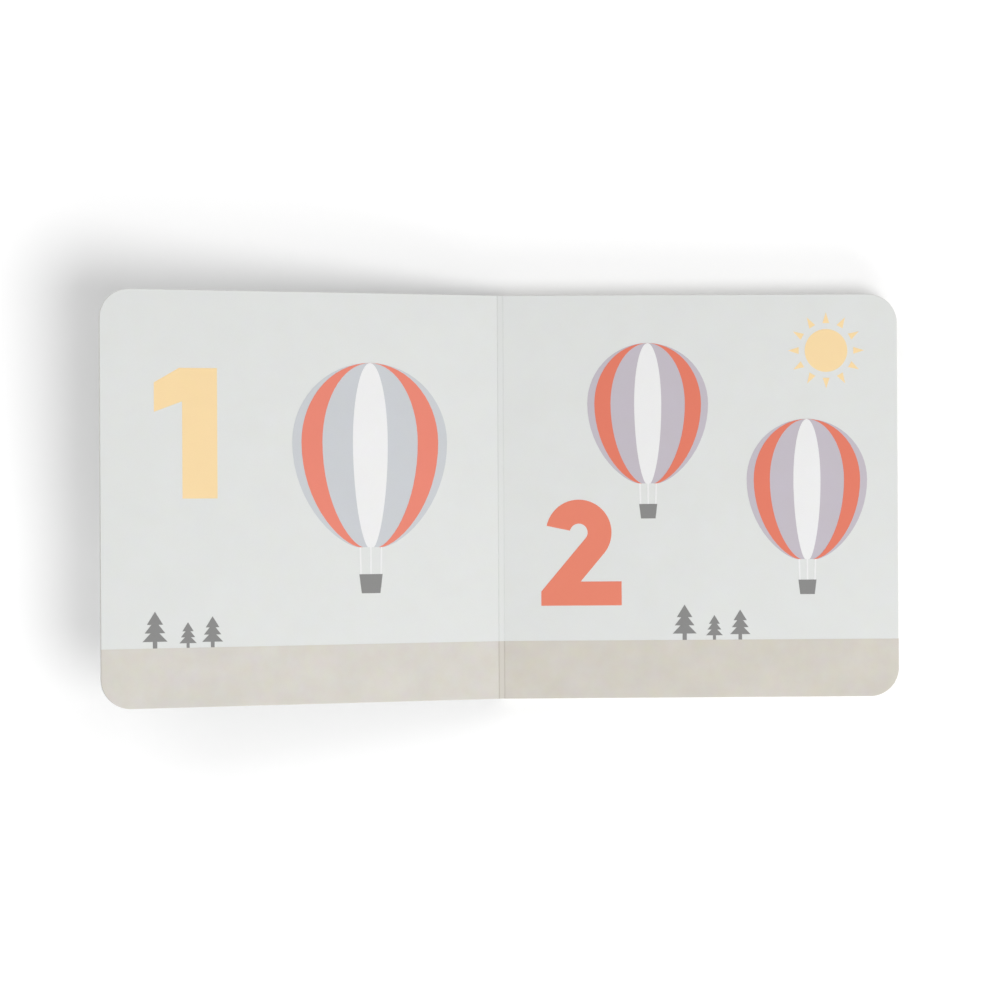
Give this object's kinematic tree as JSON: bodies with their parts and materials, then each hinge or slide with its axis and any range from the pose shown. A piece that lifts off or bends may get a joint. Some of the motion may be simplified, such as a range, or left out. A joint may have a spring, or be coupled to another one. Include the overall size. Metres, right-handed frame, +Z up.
{
  "type": "board counting book",
  "caption": "Square stiff board book lying open at a printed spread, with rounded corners, folded gutters, a raised front cover and two hinged cover boards.",
  "frame": {"origin": "centre of the back cover's underside, on the table, which is also the middle of the closed book", "axes": "+X from the spine to the right page's fore-edge, +Y to the head of the page, +Z up from the table"},
  "size_m": [0.3112, 0.16, 0.0513],
  "materials": {
    "page_board": "matte laminated board printed pale grey",
    "wrap_paper": "matte laminated paper, pale grey",
    "print_beige": "matte print, pale beige",
    "print_yellow": "matte print, soft yellow",
    "print_coral": "matte print, coral red",
    "print_white": "unprinted white under the matte film",
    "print_grey_blue": "matte print, grey blue",
    "print_mauve": "matte print, soft mauve",
    "print_dark_grey": "matte print, dark grey"
  },
  "bodies": {
    "leaves": {"page_block": "page_board", "spine": "wrap_paper", "print_2_ground": "print_beige", "print_2_numeral": "print_coral", "print_2_balloons": "print_mauve", "print_2_red_gores": "print_coral", "print_2_white_gores": "print_white", "print_2_baskets_and_firs": "print_dark_grey", "print_2_sun": "print_yellow"},
    "front": {"front_cover": "page_board", "print_1_ground": "print_beige", "print_1_numeral": "print_yellow", "print_1_balloon": "print_grey_blue", "print_1_red_gores": "print_coral", "print_1_white_gores": "print_white", "print_1_basket_and_firs": "print_dark_grey"},
    "back": {"back_cover": "page_board"}
  },
  "joints": [
    {"name": "front_cover_hinge", "type": "hinge", "parent": "leaves", "child": "front", "pos_m": [-0.0796, 0, 0.01055], "axis": [0, 1, 0], "range_deg": [-15, 165]},
    {"name": "back_cover_hinge", "type": "hinge", "parent": "leaves", "child": "back", "pos_m": [-0.0796, 0, 0.0022], "axis": [0, 1, 0], "range_deg": [0, 180]}
  ]
}
